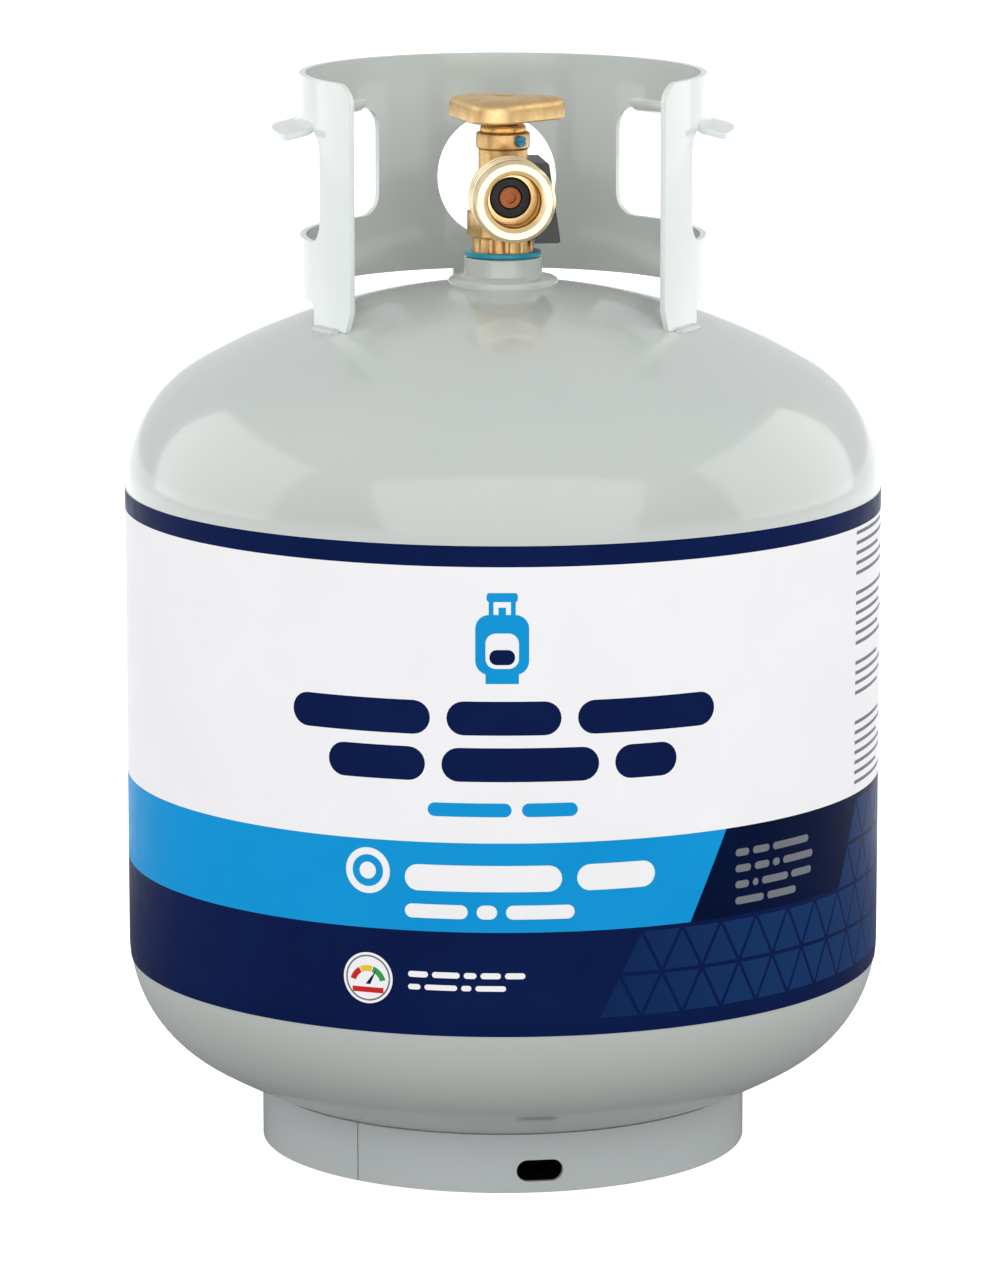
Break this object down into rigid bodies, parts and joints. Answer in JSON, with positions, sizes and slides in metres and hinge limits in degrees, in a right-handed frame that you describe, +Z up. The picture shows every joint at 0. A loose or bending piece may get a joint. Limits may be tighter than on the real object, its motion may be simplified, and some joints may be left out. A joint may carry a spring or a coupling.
{
  "type": "propane tank",
  "caption": "Portable steel propane cylinder with a collar, a foot ring, a printed label sleeve and a brass overfill valve that has a triangular handwheel and a float gauge.",
  "frame": {"origin": "centre of the circle that the foot ring stands on", "axes": "+Z up along the tank's axis, -Y towards the open side of the collar and the valve outlet, +X to the right as seen from there"},
  "size_m": [0.3106, 0.3106, 0.4435],
  "materials": {
    "shell_paint": "glossy pale grey-green powder coat",
    "collar_paint": "glossy pale grey powder coat",
    "weld_steel": "as welded",
    "label_film": "glossy printed film",
    "seal_blue_green": "satin",
    "brass": "satin forged brass",
    "handwheel_brass": "fine cast, matt",
    "screw_steel": "zinc plated",
    "spring_steel": "drawn wire",
    "black_rubber": "moulded",
    "bleed_blue": "anodised",
    "black_plastic": "fine moulded texture",
    "white_plastic": "moulded",
    "float_foam": "closed-cell foam",
    "magnet": "sintered",
    "pointer_red": "moulded",
    "clear_plastic": "clear"
  },
  "bodies": {
    "cylinder": {"upper_shell": "shell_paint", "lower_shell": "shell_paint", "girth_weld": "weld_steel", "neck_bung": "shell_paint", "bung_weld": "shell_paint", "collar": "collar_paint", "collar_welds": "collar_paint", "foot_ring": "shell_paint", "foot_ring_welds": "shell_paint", "label": "label_film", "seal_ring": "seal_blue_green", "valve_body": "brass", "bonnet": "brass", "stem_o_ring": "black_rubber", "outlet_retainer": "brass", "outlet_seal": "black_rubber", "check_spring": "spring_steel", "dip_tube": "screw_steel", "relief_cap": "brass", "relief_spring": "spring_steel", "opd_housing": "black_plastic", "gauge_housing": "black_plastic", "gauge_dial": "white_plastic", "gauge_lens": "clear_plastic", "gauge_screws": "screw_steel"},
    "handwheel": {"handwheel": "handwheel_brass", "handwheel_screw": "screw_steel", "upper_stem": "brass"},
    "seat_plug": {"seat_plug": "brass", "seat_disc": "black_rubber"},
    "check_piston": {"check_piston": "brass"},
    "bleed_screw": {"bleed_screw": "bleed_blue"},
    "relief_poppet": {"relief_poppet": "brass", "relief_seal": "black_rubber"},
    "float_lever": {"float_arm": "screw_steel", "float_pin": "screw_steel", "float": "float_foam"},
    "opd_piston": {"opd_piston": "white_plastic", "opd_piston_seal": "black_rubber"},
    "gauge_rod": {"gauge_rod": "screw_steel", "rod_magnet": "magnet"},
    "gauge_pointer": {"gauge_pointer": "pointer_red"}
  },
  "joints": [
    {"name": "handwheel_turn", "type": "hinge", "parent": "cylinder", "child": "handwheel", "pos_m": [0, 0, 0.4287], "axis": [0, 0, 1], "range_deg": [0, 720]},
    {"name": "seat_plug_lift", "type": "slide", "parent": "handwheel", "child": "seat_plug", "axis": [0, 0, 1], "range_m": [0, 0.003]},
    {"name": "check_piston_slide", "type": "slide", "parent": "cylinder", "child": "check_piston", "axis": [-0.0872, 0.9962, 0], "range_m": [0, 0.004], "stiffness_N_per_m": 300, "springref_m": -0.004, "deforming": ["check_spring"]},
    {"name": "bleed_screw_turn", "type": "hinge", "parent": "cylinder", "child": "bleed_screw", "pos_m": [0.00632, -0.00839, 0.4159], "axis": [0.6018, -0.7986, 0], "range_deg": [0, 360]},
    {"name": "relief_poppet_slide", "type": "slide", "parent": "cylinder", "child": "relief_poppet", "axis": [-0.0872, 0.9962, 0], "range_m": [0, 0.002], "stiffness_N_per_m": 8000, "springref_m": -0.009, "deforming": ["relief_spring"]},
    {"name": "float_swing", "type": "hinge", "parent": "cylinder", "child": "float_lever", "pos_m": [-0.00045, 0.00518, 0.314], "axis": [-0.9962, -0.0872, 0], "range_deg": [0, 68]},
    {"name": "opd_piston_slide", "type": "slide", "parent": "cylinder", "child": "opd_piston", "axis": [0, 0, 1], "range_m": [0, 0.0068]},
    {"name": "gauge_rod_slide", "type": "slide", "parent": "cylinder", "child": "gauge_rod", "axis": [0, 0, 1], "range_m": [0, 0.0068]},
    {"name": "gauge_pointer_turn", "type": "hinge", "parent": "cylinder", "child": "gauge_pointer", "pos_m": [0.0196, 0.00774, 0.3905], "axis": [0.9865, 0.0863, 0.1392], "range_deg": [-136.5, 0]}
  ],
  "couplings": [
    {"joint": "seat_plug_lift", "follows": "handwheel_turn", "m_per_rad": 0.000238},
    {"joint": "opd_piston_slide", "follows": "float_swing", "m_per_rad": 0.005654},
    {"joint": "gauge_rod_slide", "follows": "float_swing", "m_per_rad": 0.005654},
    {"joint": "gauge_pointer_turn", "follows": "float_swing", "ratio": -2}
  ]
}
